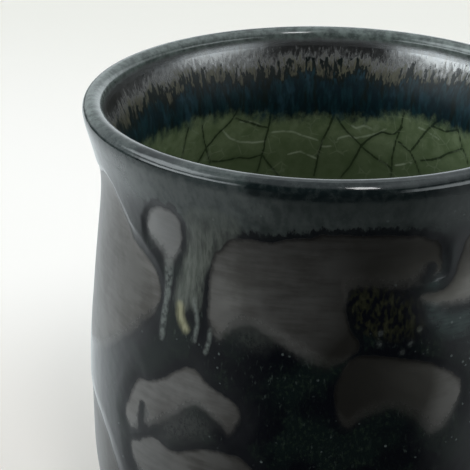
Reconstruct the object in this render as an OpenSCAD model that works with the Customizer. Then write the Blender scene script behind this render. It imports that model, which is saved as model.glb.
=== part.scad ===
// Yunomi: a tall, round-bellied tea cup without a handle, thrown in one piece.
// The origin is the centre of the foot ring's resting face, +Z is up.
// The clay wall carries its glazes as thin coats: a brown one all over the outside,
// a thick dark one over it that is open in cloud-shaped windows, a coat over the lip,
// and a brown band, a blue band and a pale green liner inside.

/* [Cup] */
// Height of the finished cup, from the table to the top of the lip
cup_h = 88; // [70:1:110]
// Radius of the lip at its widest
mouth_r = 37.9; // [34:0.1:44]
// Radius of the drawn-in neck under the lip
neck_r = 35.7; // [32:0.1:37]
// Depth of the neck's narrowest ring under the top of the lip
neck_drop = 13; // [11:0.5:18]
// Radius of the belly at its widest, without the dark coat
belly_r = 39; // [37:0.1:46]
// Height of the belly's widest ring
belly_z = 30; // [24:1:36]

/* [Lip] */
// Thickness of the rounded lip
lip_t = 3.2; // [2.6:0.1:4.2]
// Depth of the lip's widest ring under its top
lip_drop = 1.5; // [1.2:0.1:2.4]
// Length of the straight pull under the lip's widest ring
lip_pull = 2.2; // [1:0.1:4]

/* [Wall] */
// Thickness of the glazed wall at the neck and at the belly
wall_t = 3.4; // [2.6:0.1:5]
// Thickness of the glazed floor above the recess of the foot
floor_t = 5.4; // [4:0.1:8]
// Height of the widest ring of the inside
inside_belly_z = 36; // [30:1:44]
// Radius to which the inside floor runs almost level
inside_floor_r = 27; // [18:1:30]

/* [Foot] */
// Outer radius of the foot ring
foot_r = 26; // [20:0.5:31]
// Height of the foot ring
foot_h = 5; // [3:0.5:8]
// Width of the foot ring
foot_w = 4.2; // [3:0.1:6]
// Depth of the recess inside the foot ring
recess_h = 3.6; // [2:0.1:5]
// Bevel of the foot ring's edges
foot_bevel = 0.6; // [0.2:0.1:1]
// Reach of the almost level shoulder above the foot ring
hip_reach = 10; // [5:0.5:12]

/* [Glaze] */
// Thickness of the first glaze coat, inside and out
coat_t = 0.3; // [0.2:0.05:0.5]
// Thickness of the dark coat over the brown one
over_t = 0.35; // [0.2:0.05:0.5]
// Thickness of the dark coat where it meets the lip
over_lip_t = 0.12; // [0.1:0.02:0.3]
// Thickness of the rolled lower edge of the dark coat
roll_t = 0.8; // [0.4:0.1:1.2]
// Height of that rolled edge
roll_h = 4; // [2:0.5:6]
// Thickness of the pale runs on the dark coat
run_t = 0.2; // [0.1:0.05:0.4]
// Height of the brown coat's lower edge
glaze_line_z = 9; // [8:0.5:14]
// Height of the dark coat's lower edge
over_line_z = 14; // [12:0.5:22]
// Depth of the outer glaze joint under the top of the lip
rim_joint_out = 4.4; // [3:0.1:6]
// Depth of the inner glaze joint under the top of the lip
rim_joint_in = 3; // [2.2:0.1:4]
// Depth of the joint between the inner brown and blue bands
brown_band_drop = 8.5; // [7:0.1:10]
// Depth of the joint between the blue band and the green liner
blue_band_drop = 14.8; // [12:0.1:18]

/* [Hidden] */
$fn = 96;
overrun = cup_h;

neck_z = cup_h - neck_drop;
lip_z = cup_h - lip_drop;
lip_in_r = mouth_r - lip_t;
lip_crest_r = mouth_r - lip_t / 2;
neck_in_r = neck_r - wall_t;
belly_in_r = belly_r - wall_t;
floor_z = recess_h + floor_t;
foot_in_r = foot_r - foot_w;
rim_out_z = cup_h - rim_joint_out;
rim_in_z = cup_h - rim_joint_in;
brown_band_z = cup_h - brown_band_drop;
blue_band_z = cup_h - blue_band_drop;

// Handle lengths of the section's curves, as shares of the rise they cross
belly_low_share = 0.52;
belly_high_share = 0.56;
neck_low_share = 0.14;
neck_high_share = 0.42;
bead_share = 0.56;
inside_low_share = 0.8;
inside_high_share = 0.5;

// Steps of each curve of the section
wall_steps = 9;
flare_steps = 6;
bead_steps = 5;
outline_steps = 3;

// A cubic curve through its first and last of four points, and its direction
function curve(c, t) =
    pow(1 - t, 3) * c[0] + 3 * pow(1 - t, 2) * t * c[1]
    + 3 * (1 - t) * pow(t, 2) * c[2] + pow(t, 3) * c[3];
function heading(c, t) =
    pow(1 - t, 2) * (c[1] - c[0]) + 2 * (1 - t) * t * (c[2] - c[1])
    + pow(t, 2) * (c[3] - c[2]);

// Thickness of the dark coat at a height
function over_gap(z) =
    lookup(z, [[over_line_z, roll_t], [over_line_z + roll_h, over_t],
               [neck_z, over_t], [rim_out_z, over_lip_t]]);

// Points along a chain of curves, each moved out of the clay by a gap. Each part of
// the chain is a curve and its steps, and over is 1 to add the dark coat's thickness.
function outward(d) = [d.y, -d.x] / norm(d);
function line(chain, gap, over = 0) =
    [for (k = [0:len(chain) - 1])
        let (c = chain[k][0], steps = chain[k][1])
        for (i = [min(k, 1):steps])
            let (p = curve(c, i / steps))
            p + (gap + over * over_gap(p.y)) * outward(heading(c, i / steps))];

// The section's curves, from the foot up the outside, over the lip and down inside
hip_curve = [[foot_r, foot_h], [foot_r + hip_reach, foot_h],
             [belly_r, belly_z - belly_low_share * (belly_z - foot_h)], [belly_r, belly_z]];
body_curve = [[belly_r, belly_z], [belly_r, belly_z + belly_high_share * (neck_z - belly_z)],
              [neck_r, neck_z - neck_low_share * (neck_z - belly_z)], [neck_r, neck_z]];
flare_curve = [[neck_r, neck_z], [neck_r, neck_z + neck_high_share * (lip_z - neck_z)],
               [mouth_r, lip_z - lip_pull], [mouth_r, lip_z]];
bead_out_curve = [[mouth_r, lip_z], [mouth_r, lip_z + bead_share * lip_drop],
                  [lip_crest_r + bead_share * (mouth_r - lip_crest_r), cup_h],
                  [lip_crest_r, cup_h]];
bead_in_curve = [[lip_crest_r, cup_h],
                 [lip_crest_r - bead_share * (lip_crest_r - lip_in_r), cup_h],
                 [lip_in_r, lip_z + bead_share * lip_drop], [lip_in_r, lip_z]];
throat_curve = [[lip_in_r, lip_z], [lip_in_r, lip_z - lip_pull],
                [neck_in_r, neck_z + neck_high_share * (lip_z - neck_z)], [neck_in_r, neck_z]];
inside_curve = [[neck_in_r, neck_z],
                [neck_in_r, neck_z - neck_low_share * (neck_z - inside_belly_z)],
                [belly_in_r, inside_belly_z + inside_high_share * (neck_z - inside_belly_z)],
                [belly_in_r, inside_belly_z]];
bowl_curve = [[belly_in_r, inside_belly_z],
              [belly_in_r, inside_belly_z - inside_low_share * (inside_belly_z - floor_z)],
              [inside_floor_r, floor_z], [0, floor_z]];

outside = [[hip_curve, wall_steps], [body_curve, wall_steps], [flare_curve, flare_steps]];
lip = [[bead_out_curve, bead_steps], [bead_in_curve, bead_steps]];
inside = [[throat_curve, flare_steps], [inside_curve, wall_steps], [bowl_curve, wall_steps]];
whole = concat(outside, lip, inside);

function reversed(list) = [for (i = [len(list) - 1:-1:0]) list[i]];

// Radius of the brown coat at a height, read off the section
wall_table = [for (p = line(outside, 0)) [p.y, p.x]];
function wall_r(z) = lookup(z, wall_table);

// Windows in the dark coat: each corner is an azimuth in degrees, with 270 the front,
// and the depth under the top of the lip as a share of the cup's height
window_shares = [
    [[208, 0.102], [220, 0.173], [232, 0.244], [226, 0.324], [207, 0.438],
     [194, 0.465], [186, 0.40], [184, 0.25], [194, 0.125]],
    [[231, 0.09], [226.5, 0.125], [228, 0.16], [233.5, 0.19], [237.5, 0.14], [236.5, 0.1]],
    [[246, 0.16], [249, 0.118], [259, 0.108], [272, 0.092], [285, 0.094], [295, 0.108],
     [299, 0.165], [290, 0.2], [279, 0.18], [277, 0.225], [280, 0.28], [274, 0.318],
     [255, 0.258], [248.6, 0.292], [246, 0.235]],
    [[293, 0.218], [301, 0.2], [304, 0.13], [311, 0.1], [322, 0.11], [328, 0.17],
     [322, 0.25], [308, 0.265]],
    [[221, 0.49], [226, 0.417], [236, 0.385], [241, 0.353], [247, 0.372], [254, 0.41],
     [251, 0.455], [244, 0.425], [236, 0.47], [227, 0.51]],
    [[223, 0.57], [229, 0.53], [238, 0.525], [247, 0.497], [256, 0.52], [257, 0.58],
     [243, 0.63], [228, 0.62]],
    [[275, 0.31], [281, 0.293], [291, 0.305], [301, 0.345], [304, 0.39], [297, 0.452],
     [288, 0.395], [280, 0.41], [274, 0.37]],
    [[196, 0.57], [204, 0.572], [212, 0.6], [217, 0.66], [212, 0.74], [199, 0.77],
     [188, 0.7], [187, 0.62]],
    [[263, 0.54], [271, 0.522], [279, 0.55], [278, 0.6], [270, 0.617], [263, 0.59]],
    [[285, 0.56], [297, 0.53], [309, 0.57], [312, 0.65], [301, 0.72], [287, 0.68]],
    [[231, 0.72], [243, 0.7], [257, 0.73], [259, 0.79], [245, 0.815], [233, 0.79]],
    [[272, 0.755], [284, 0.74], [297, 0.765], [298, 0.805], [284, 0.815], [273, 0.8]],
    [[336, 0.13], [345, 0.095], [358, 0.105], [370, 0.09], [382, 0.12], [387, 0.18],
     [379, 0.215], [370, 0.2], [361, 0.25], [349, 0.27], [339, 0.22]],
    [[34.5, 0.12], [39, 0.09], [43, 0.12], [41, 0.165], [38, 0.21], [35, 0.17]],
    [[50, 0.15], [56, 0.105], [68, 0.095], [80, 0.11], [92, 0.1], [97, 0.15], [93, 0.22],
     [83, 0.21], [78, 0.27], [70, 0.32], [59, 0.3], [52, 0.24]],
    [[107, 0.14], [116, 0.1], [131, 0.095], [146, 0.11], [151, 0.17], [146, 0.22],
     [134, 0.2], [128, 0.26], [118, 0.3], [109, 0.25]],
    [[158, 0.13], [168, 0.1], [177, 0.13], [178, 0.21], [172, 0.29], [163, 0.31],
     [158, 0.24]],
    [[313, 0.36], [322, 0.32], [333, 0.335], [342, 0.31], [352, 0.35], [353, 0.42],
     [345, 0.46], [336, 0.43], [327, 0.47], [316, 0.44]],
    [[361, 0.35], [372, 0.325], [383, 0.3], [391, 0.335], [393, 0.41], [386, 0.46],
     [376, 0.43], [366, 0.47], [360, 0.41]],
    [[41, 0.37], [49, 0.355], [57, 0.38], [67, 0.39], [78, 0.37], [84, 0.42], [80, 0.49],
     [69, 0.5], [60, 0.46], [50, 0.49], [42, 0.44]],
    [[92, 0.38], [102, 0.355], [113, 0.375], [124, 0.35], [132, 0.4], [130, 0.48],
     [120, 0.51], [110, 0.47], [100, 0.5], [92, 0.45]],
    [[141, 0.36], [150, 0.33], [158, 0.38], [169, 0.39], [175, 0.45], [171, 0.53],
     [160, 0.55], [150, 0.5], [142, 0.45]],
    [[320, 0.58], [329, 0.535], [340, 0.55], [351, 0.53], [355, 0.6], [349, 0.67],
     [338, 0.7], [325, 0.69]],
    [[6, 0.58], [17, 0.54], [28, 0.56], [40, 0.53], [47, 0.59], [44, 0.67], [33, 0.72],
     [20, 0.69], [9, 0.67]],
    [[55, 0.6], [64, 0.57], [76, 0.59], [83, 0.64], [80, 0.72], [69, 0.76], [58, 0.71]],
    [[97, 0.6], [108, 0.57], [120, 0.6], [133, 0.58], [138, 0.65], [130, 0.73],
     [117, 0.71], [106, 0.74], [98, 0.68]],
    [[146, 0.65], [156, 0.62], [167, 0.635], [175, 0.67], [173, 0.74], [161, 0.79],
     [149, 0.74]]];

// Pale runs on the dark coat, written as the windows are
run_shares = [
    [[239, 0.105], [247, 0.09], [245, 0.14], [242.5, 0.21], [241, 0.285], [238.6, 0.275],
     [239, 0.19]],
    [[233.4, 0.2], [234.6, 0.2], [236, 0.25], [234, 0.32], [232.8, 0.32], [234.8, 0.25]],
    [[243, 0.24], [243.8, 0.235], [244.4, 0.27], [243.9, 0.31], [243.1, 0.275]],
    [[30, 0.12], [32.5, 0.12], [32.8, 0.21], [31.4, 0.29], [30.2, 0.21]],
    [[45, 0.12], [48, 0.11], [48.5, 0.2], [47, 0.31], [45.6, 0.21]],
    [[100, 0.13], [104, 0.12], [104, 0.22], [102, 0.32], [100.8, 0.22]],
    [[153.4, 0.14], [155.8, 0.14], [156, 0.23], [154.6, 0.3], [153.6, 0.23]],
    [[330.4, 0.1], [333.6, 0.1], [333.4, 0.19], [332, 0.28], [330.8, 0.19]]];

// A closed smooth line through the corners of an outline
function smooth_at(a, b, c, d, t) =
    b + t / 2 * (c - a)
    + pow(t, 2) / 2 * (2 * a - 5 * b + 4 * c - d)
    + pow(t, 3) / 2 * (3 * b - 3 * c + d - a);
function smooth_loop(list) =
    let (n = len(list))
    [for (i = [0:n - 1])
        for (k = [0:outline_steps - 1])
            smooth_at(list[(i + n - 1) % n], list[i], list[(i + 1) % n], list[(i + 2) % n],
                      k / outline_steps)];

function middle(list) = (min([for (p = list) p.x]) + max([for (p = list) p.x])) / 2;

// A prism that stands on the wall along the radius through an outline's middle
module wall_prism(outline) {
    mid = middle(outline);
    points = [for (p = smooth_loop(outline))
                let (z = cup_h * (1 - p.y))
                [wall_r(z) * sin(p.x - mid), z]];
    rotate([0, 0, mid])
        rotate([90, 0, 90])
            translate([0, 0, neck_in_r / 2])
                linear_extrude(height = overrun)
                    polygon(points);
}

// What lies between two heights of the section
module zone(low, high) {
    translate([0, low])
        square([overrun, high - low]);
}

// A coat between two lines of the section, from one height to another
module coat(under, upper, low, high) {
    rotate_extrude()
        intersection() {
            polygon(concat(under, reversed(upper)));
            zone(low, high);
        }
}

module clay_body() {
    color([0.30, 0.25, 0.21])
        rotate_extrude()
            polygon(concat(
                [[0, recess_h],
                 [foot_in_r - foot_bevel, recess_h],
                 [foot_in_r, recess_h - foot_bevel],
                 [foot_in_r, foot_bevel],
                 [foot_in_r + foot_bevel, 0],
                 [foot_r - foot_bevel, 0],
                 [foot_r, foot_bevel]],
                line(whole, -coat_t)));
}

module brown_underglaze() {
    color([0.36, 0.35, 0.34])
        coat(line(outside, -coat_t), line(outside, 0), glaze_line_z, rim_out_z);
}

module dark_overglaze() {
    color([0.07, 0.10, 0.11])
        difference() {
            coat(line(outside, 0), line(outside, 0, 1), over_line_z, rim_out_z);
            for (outline = window_shares)
                wall_prism(outline);
        }
}

module rim_glaze() {
    color([0.20, 0.26, 0.26])
        rotate_extrude()
            intersection() {
                polygon(concat(line(whole, -coat_t), reversed(line(whole, 0))));
                union() {
                    zone(rim_in_z, cup_h);
                    translate([lip_crest_r, 0])
                        zone(rim_out_z, cup_h);
                }
            }
}

module inner_brown_band() {
    color([0.38, 0.37, 0.34])
        coat(line(inside, -coat_t), line(inside, 0), brown_band_z, rim_in_z);
}

module inner_blue_band() {
    color([0.08, 0.17, 0.20])
        coat(line(inside, -coat_t), line(inside, 0), blue_band_z, brown_band_z);
}

module celadon_liner() {
    color([0.42, 0.50, 0.36])
        coat(line(inside, -coat_t), line(inside, 0), 0, blue_band_z);
}

module ash_runs() {
    color([0.50, 0.52, 0.38])
        intersection() {
            coat(line(outside, 0, 1), line(outside, run_t, 1), over_line_z, rim_out_z);
            union()
                for (outline = run_shares)
                    wall_prism(outline);
        }
}

clay_body();
brown_underglaze();
dark_overglaze();
rim_glaze();
inner_brown_band();
inner_blue_band();
celadon_liner();
ash_runs();
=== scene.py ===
"""Looks of a yunomi tea cup: its glaze surfaces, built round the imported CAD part.

Lengths are millimetres until a mesh is made, and the origin is the centre of the foot
ring's resting face, with +Z up and the front at -Y. Azimuths run from +X towards +Y in
degrees, so 270 is the front. A drop is a depth under the top of the lip.
"""

import math

import bpy
import numpy as np
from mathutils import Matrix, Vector

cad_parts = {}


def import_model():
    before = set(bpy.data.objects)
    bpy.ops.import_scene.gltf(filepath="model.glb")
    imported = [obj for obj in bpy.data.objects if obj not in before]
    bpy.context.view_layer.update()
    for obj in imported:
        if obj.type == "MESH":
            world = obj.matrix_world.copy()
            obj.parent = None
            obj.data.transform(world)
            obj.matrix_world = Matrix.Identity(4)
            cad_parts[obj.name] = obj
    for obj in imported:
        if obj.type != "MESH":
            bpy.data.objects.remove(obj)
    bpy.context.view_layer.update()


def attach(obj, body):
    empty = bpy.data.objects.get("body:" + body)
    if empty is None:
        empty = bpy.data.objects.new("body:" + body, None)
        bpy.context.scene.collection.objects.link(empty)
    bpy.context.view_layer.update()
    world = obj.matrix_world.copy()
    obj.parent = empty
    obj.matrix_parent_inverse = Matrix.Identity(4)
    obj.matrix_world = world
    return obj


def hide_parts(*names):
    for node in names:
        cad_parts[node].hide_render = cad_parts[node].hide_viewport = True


MM = 0.001

# The cup's section, as in the part's source
CUP_H = 88.0
MOUTH_R = 37.9
NECK_R = 35.7
NECK_Z = 75.0
BELLY_R = 39.0
BELLY_Z = 30.0
LIP_T = 3.2
LIP_Z = 86.5
LIP_PULL = 2.2
WALL_T = 3.4
INSIDE_BELLY_Z = 36.0
INSIDE_FLOOR_R = 27.0
FLOOR_Z = 9.0
FOOT_R = 26.0
FOOT_H = 5.0
FOOT_IN_R = 21.8
RECESS_H = 3.6
FOOT_BEVEL = 0.6
HIP_REACH = 10.0
COAT_T = 0.3
OVER_T = 0.35
ROLL_T = 0.8
ROLL_H = 4.0
GLAZE_LINE_Z = 9.0
OVER_LINE_Z = 14.0
RIM_OUT_Z = 83.6
RIM_IN_Z = 85.0
BROWN_BAND_Z = 79.5
BLUE_BAND_Z = 73.2

BELLY_LOW_SHARE = 0.52
BELLY_HIGH_SHARE = 0.56
NECK_LOW_SHARE = 0.14
NECK_HIGH_SHARE = 0.42
BEAD_SHARE = 0.56
INSIDE_LOW_SHARE = 0.8
INSIDE_HIGH_SHARE = 0.5

# The dark coat on the render's mesh, kept just inside the CAD's own
OVER_SHARE = 0.5
EDGE_W = 3.0
CREASE_W = 1.0
CREASE_DROP = 17
WINDOW_DIP = 0.1
WINDOW_RAGGED = 0.22
ROLL_EDGE_W = 1.1
DARK_EDGE_LIFT = 0.4
DARK_EDGE_SWELL = 0.7
LOW_EDGE_SWELL = 0.3
LIP_THINNING = 7.0
LOW_EDGE_W = 0.5
THIN_SPREAD = 70
DIP_REACH, DIP_W = 1.0, 2.4
MARK_RELIEF = 0.04

# Stretches round the cup: middle azimuth, half width and width of fading, in degrees
CREASE = (214, 24, 10)
WORN_LIP = (112, 103, 14)
DEEP_BLUE = (93, 30, 18)
SHORT_BROWN = (32, 38, 18)
# How worn the rest of the lip is, and how many mm lower the blue ends and higher the brown
WORN_LEAST = 0.15
DEEP_BLUE_BY = 2.0
SHORT_BROWN_BY = 1.8

# How far painted marks reach from their lines and outlines, and how widely they fade
ASH_FADE = 1.1
LINE_FADE = 0.48
TAIL_FADE, TAIL_STRENGTH = 0.6, 0.75
DROP_R, DROP_STRENGTH = 0.6, 0.42
TIP_REACH, TIP_FADE = 1.0, 0.8
OLIVE_REACH, OLIVE_FADE = 1.28, 1.6
TEAL_FADE = 3.0
VEIL_FADE = 4.4
SHADE_AND_SHEEN_FADE = 10.0
SLIT_W = 0.34

# The camera of the photograph, found from the ellipse of the lip
PHOTO_PX = 470
FOCAL_PX = 1167
SENSOR_MM = 36.0
EYE_REACH = 184.1
EYE_RISE_DEG = 18.47
PITCH_DEG = 25.63
YAW_DEG = -4.67
CLIP_M = (0.005, 20)
RAY_STEPS = np.linspace(100, 320, 4401)

# Windows in the dark coat that the photograph shows: azimuth and drop of each corner
SEEN_WINDOWS = [
    [(201, 9.2), (209, 8.6), (216, 12.3), (221, 15.3), (228, 17.6), (231.5, 20), (231.5, 24),
     (226.5, 28.4), (218, 33.5), (207, 38.5), (194, 41), (186, 35.5), (184, 22), (191, 11.5)],
    [(230.5, 8.3), (226.3, 11.2), (227.2, 14.1), (231.3, 15.9), (233.4, 17.8), (234.4, 17.4),
     (236.8, 14.6), (238, 11.8), (236.5, 8.4)],
    [(245.5, 14.5), (248, 11.6), (251, 9.9), (259, 9.5), (266, 8.6), (272, 7.9), (284, 8.2), (294, 9.3),
     (297.5, 12.1), (298, 14.9), (295, 15.9), (289, 16.9), (281, 16.4), (277.5, 16.2), (276, 18.5),
     (277, 21.6), (279, 24.5), (276.5, 26.8), (272, 28), (266, 26.4), (260, 24.3), (254.5, 22.8),
     (249, 25.8), (246, 25), (244.8, 20)],
    [(291.7, 18.3), (292.9, 17.4), (296, 17.2), (299.2, 17), (301.3, 15.8), (302.3, 13.6), (304.5, 9.9),
     (311, 8.8), (322, 9.7), (328, 15), (322, 21.5), (308, 21.4), (298.6, 20.5), (293, 19.5)],
    [(221, 45), (221.5, 42.5), (226, 37), (230, 36.1), (235, 34.1), (239, 31.6), (243, 31.2),
     (246, 32.7), (251, 34.1), (254, 36.2), (253.2, 38.9), (251, 40.3), (248.6, 38.8), (244, 37.4),
     (241, 38.3), (237.5, 40.6), (234, 42.6), (227, 45.8), (222.5, 46.9)],
    [(223, 50), (226, 47.2), (232, 45.3), (237, 46.3), (245, 43.8), (252, 43.3), (257, 45), (258.5, 50),
     (243, 55.4), (228, 54.6)],
    [(274, 32), (276, 26.9), (280, 25.9), (287, 26.6), (294, 27.8), (301, 30.6), (303.3, 33),
     (302, 36.5), (299, 39.2), (295, 39.7), (292, 37.4), (287, 34.9), (282, 35.4), (276, 37)],
    [(196, 50), (203, 50.2), (210, 51.8), (217, 57), (215.5, 63), (208, 67), (198, 68), (188, 61.5),
     (187, 54.5)],
]

# The other windows: azimuth, and drop in hundredths of the cup's height
OTHER_WINDOWS = [
    [(263, 54), (271, 52.2), (279, 55), (278, 60), (270, 61.7), (263, 59)],
    [(285, 56), (297, 53), (309, 57), (312, 65), (301, 72), (287, 68)],
    [(231, 72), (243, 70), (257, 73), (259, 79), (245, 81.5), (233, 79)],
    [(272, 75.5), (284, 74), (297, 76.5), (298, 80.5), (284, 81.5), (273, 80)],
    [(336, 13), (345, 9.5), (358, 10.5), (370, 9), (382, 12), (387, 18), (379, 21.5), (370, 20),
     (361, 25), (349, 27), (339, 22)],
    [(34.5, 12), (39, 9), (43, 12), (41, 16.5), (38, 21), (35, 17)],
    [(50, 15), (56, 10.5), (68, 9.5), (80, 11), (92, 10), (97, 15), (93, 22), (83, 21), (78, 27),
     (70, 32), (59, 30), (52, 24)],
    [(107, 14), (116, 10), (131, 9.5), (146, 11), (151, 17), (146, 22), (134, 20), (128, 26), (118, 30),
     (109, 25)],
    [(158, 13), (168, 10), (177, 13), (178, 21), (172, 29), (163, 31), (158, 24)],
    [(313, 36), (322, 32), (333, 33.5), (342, 31), (352, 35), (353, 42), (345, 46), (336, 43),
     (327, 47), (316, 44)],
    [(361, 35), (372, 32.5), (383, 30), (391, 33.5), (393, 41), (386, 46), (376, 43), (366, 47),
     (360, 41)],
    [(41, 37), (49, 35.5), (57, 38), (67, 39), (78, 37), (84, 42), (80, 49), (69, 50), (60, 46),
     (50, 49), (42, 44)],
    [(92, 38), (102, 35.5), (113, 37.5), (124, 35), (132, 40), (130, 48), (120, 51), (110, 47),
     (100, 50), (92, 45)],
    [(141, 36), (150, 33), (158, 38), (169, 39), (175, 45), (171, 53), (160, 55), (150, 50), (142, 45)],
    [(320, 58), (329, 53.5), (340, 55), (351, 53), (355, 60), (349, 67), (338, 70), (325, 69)],
    [(6, 58), (17, 54), (28, 56), (40, 53), (47, 59), (44, 67), (33, 72), (20, 69), (9, 67)],
    [(55, 60), (64, 57), (76, 59), (83, 64), (80, 72), (69, 76), (58, 71)],
    [(97, 60), (108, 57), (120, 60), (133, 58), (138, 65), (130, 73), (117, 71), (106, 74), (98, 68)],
    [(146, 65), (156, 62), (167, 63.5), (175, 67), (173, 74), (161, 79), (149, 74)],
]

# Pale ash on the dark coat: broad runs as outlines, thin ones as lines
ASH_RUNS = [
    [(30, 10.5), (32.5, 10.5), (32.8, 18.5), (31.4, 25.5), (30.2, 18.5)],
    [(45, 10.5), (48, 9.7), (48.5, 17.6), (47, 27), (45.6, 18.5)],
    [(100, 11.4), (104, 10.5), (104, 19.4), (102, 28), (100.8, 19.4)],
    [(153.4, 12.3), (155.8, 12.3), (156, 20.2), (154.6, 26.4), (153.6, 20.2)],
    [(330.4, 8.8), (333.6, 8.8), (333.4, 16.7), (332, 24.6), (330.8, 16.7)],
]

# The broad run that the photograph shows, in its pixels
ASH_FUNNEL_PX = [(190, 214), (212, 212), (234, 222), (232, 240), (214, 256), (205, 270), (200, 286),
                 (198, 304), (193, 304), (192, 292), (189, 288), (186, 304), (179, 304), (181, 286),
                 (186, 268), (189, 250), (189, 232)]

# Thin pale runs and dark slits on the outside, in the photograph's pixels
ASH_TAIL_PX = [(165, 258), (173, 258), (173, 276), (171, 296), (168, 312), (165, 336), (161, 337),
               (162, 316), (165, 296), (166, 276)]
ASH_LINES_PX = [
    [(195, 300), (197, 314), (198, 324), (195, 341)],
    [(211, 330), (209, 342), (206, 352)],
]
YELLOW_TIP_PX = [(181, 305), (181, 314), (183, 322), (186, 328)]
SLITS_PX = [
    [(142, 404), (141, 416), (141, 430)],
    [(146, 428), (142, 434), (138, 437)],
    [(432, 266), (429, 274), (425, 281)],
]

# Greenish mottling on the dark coat
OLIVE_PX = [(350, 296), (372, 290), (395, 297), (414, 306), (418, 326), (404, 334), (384, 334),
            (366, 330), (352, 318)]
OLIVE_PATCHES = [
    [(56, 24), (66, 25), (70, 29), (60, 31), (54, 28)],
    [(340, 26), (352, 25), (358, 30), (345, 31)],
]
PALE_DROPS_PX = [(380, 333), (379, 344), (402, 352), (410, 343), (419, 329)]

# Painted shade and painted sheen: where the brown of the windows, and the coat under the lip, is deeper
# or paler: a strength, below 0 for shade and above it for sheen, then corners as above
SHADE_AND_SHEEN_PATCHES = [
    (-0.3, [(238, 16), (248, 15), (250, 27), (240, 28)]),
    (-0.2, [(248, 19), (257, 19), (257, 27), (249, 27)]),
    (-0.1, [(264, 13), (292, 12), (291, 18), (284, 27), (268, 28), (264, 22)]),
    (-0.95, [(278, 10.5), (300, 10), (300, 18), (278, 17.5)]),
    (-0.95, [(275, 20), (293, 19.5), (293, 33), (275, 33)]),
    (-0.75, [(264, -1), (306, -1), (305, 7.2), (264, 7.2)]),
    (-0.95, [(270, 27), (289, 27), (290, 39), (271, 39)]),
    (-0.45, [(288, 27), (304, 27), (304, 39), (288, 39)]),
    (-0.55, [(299, 9), (325, 9), (325, 24), (299, 24)]),
    (-0.45, [(188, 8), (216, 10), (228, 20), (224, 30), (205, 40), (188, 38)]),
    (-0.8, [(186, 50), (214, 50), (218, 66), (190, 68)]),
    (0.15, [(222, 38), (234, 33), (244, 33), (240, 39), (228, 45)]),
    (-0.2, [(240, 44), (256, 44), (260, 50), (244, 56)]),
    (0.3, [(222, 46), (236, 46), (240, 54), (226, 55)]),
    (0.55, [(225, 8), (238, 8), (238, 16), (226, 16)]),
]

# Where the dark coat is thin below a window, and where it is teal-grey, partly its own tint and partly
# painted reflection, in the photo's pixels
VEILS_PX = [
    [(238, 318), (256, 320), (268, 334), (264, 346), (250, 344), (238, 336)],
    [(162, 418), (184, 408), (210, 424), (200, 438), (166, 440)],
]
TEAL_PX = [(440, 256), (452, 250), (450, 285), (438, 296), (445, 312), (470, 306), (470, 336),
           (444, 332), (430, 318), (428, 300)]

# Where the outer side of the lip is dark and glossy: azimuths between which, and lowest drop
LIP_DARK_STRETCHES = [(226, 242, 1.9), (254.5, 322, 3.0), (8, 60, 3.0), (96, 128, 3.0)]

# Cracks in the green glaze, in the photograph's pixels
DARK_CRACKS_PX = [
    [(335, 112), (329, 128), (322, 141), (318, 156), (314, 176)],
    [(337, 118), (348, 133), (361, 146), (374, 156), (385, 163), (392, 170)],
    [(361, 146), (356, 156), (351, 165), (341, 178)],
    [(361, 146), (366, 141), (372, 137), (382, 132), (395, 134), (402, 128)],
    [(404, 112), (401, 128), (396, 141), (392, 158), (391, 178)],
    [(399, 143), (410, 152), (416, 163), (421, 178)],
    [(410, 152), (420, 139), (432, 126), (446, 114)],
    [(455, 112), (458, 130), (462, 146), (466, 156), (469, 168)],
    [(271, 110), (270, 120), (268, 130), (265, 140), (264, 148), (257, 172)],
    [(238, 110), (231, 121), (222, 130), (214, 139), (207, 147), (198, 162)],
    [(202, 126), (204, 141), (207, 152), (210, 163)],
    [(212, 161), (226, 160), (240, 158), (250, 158), (262, 155), (272, 167), (279, 176)],
    [(236, 118), (245, 121), (254, 124), (268, 128)],
    [(189, 126), (186, 137), (184, 148), (182, 158)],
    [(432, 126), (445, 132), (458, 130)],
    [(421, 160), (440, 158), (462, 148)],
]
PALE_CRACKS_PX = [
    [(270, 133), (283, 131), (296, 133), (306, 136), (318, 140)],
    [(322, 146), (334, 146), (339, 138), (349, 136), (356, 139), (367, 136), (379, 133), (386, 128)],
    [(349, 123), (356, 127), (364, 125), (371, 128)],
    [(395, 165), (404, 164), (413, 163)],
    [(222, 130), (230, 138), (240, 142), (252, 143), (265, 141)],
    [(240, 121), (253, 122), (263, 126)],
    [(288, 155), (300, 152), (316, 158)],
    [(419, 128), (429, 133), (439, 140)],
    [(429, 115), (435, 121), (445, 131)],
]

# How far the cracks wander and are felt, and beyond where a net of them is left to chance
CRACK_WANDER = 0.25
CRACK_REACH = 3.0
FREE_NET_DROP = 30
FREE_NET_MIDDLE, FREE_NET_HALF = 100, 62

# Marks of the turning tool near the foot
TURNING_DEPTH = 0.05
TURNING_PITCH = 1.7
TURNED_LENGTH = 14
POLE_R = 0.4

# Grids: columns round the cup, rows, and how much closer they lie on the seen side
OUTSIDE_COLUMNS = 640
OUTSIDE_ROWS = 220
INSIDE_COLUMNS = 470
INSIDE_SEEN_LENGTH = 17.0
UNDERSIDE_ROWS = 40
LIP_COLUMNS = 400
LIP_ROWS = 44
CLAY_COLUMNS = 300
ROW_CROWDING = 0.2
SEEN_OUTSIDE_DEG = 252
SEEN_INSIDE_DEG = 98
OUTSIDE_CROWDING = 0.42
INSIDE_CROWDING = 0.58


def cubic(corners, t):
    """Points along a cubic curve through its first and last of four corners."""
    a, b, c, d = (np.array(p, float) for p in corners)
    t = t[:, None]
    return (1 - t) ** 3 * a + 3 * (1 - t) ** 2 * t * b + 3 * (1 - t) * t**2 * c + t**3 * d


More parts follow.
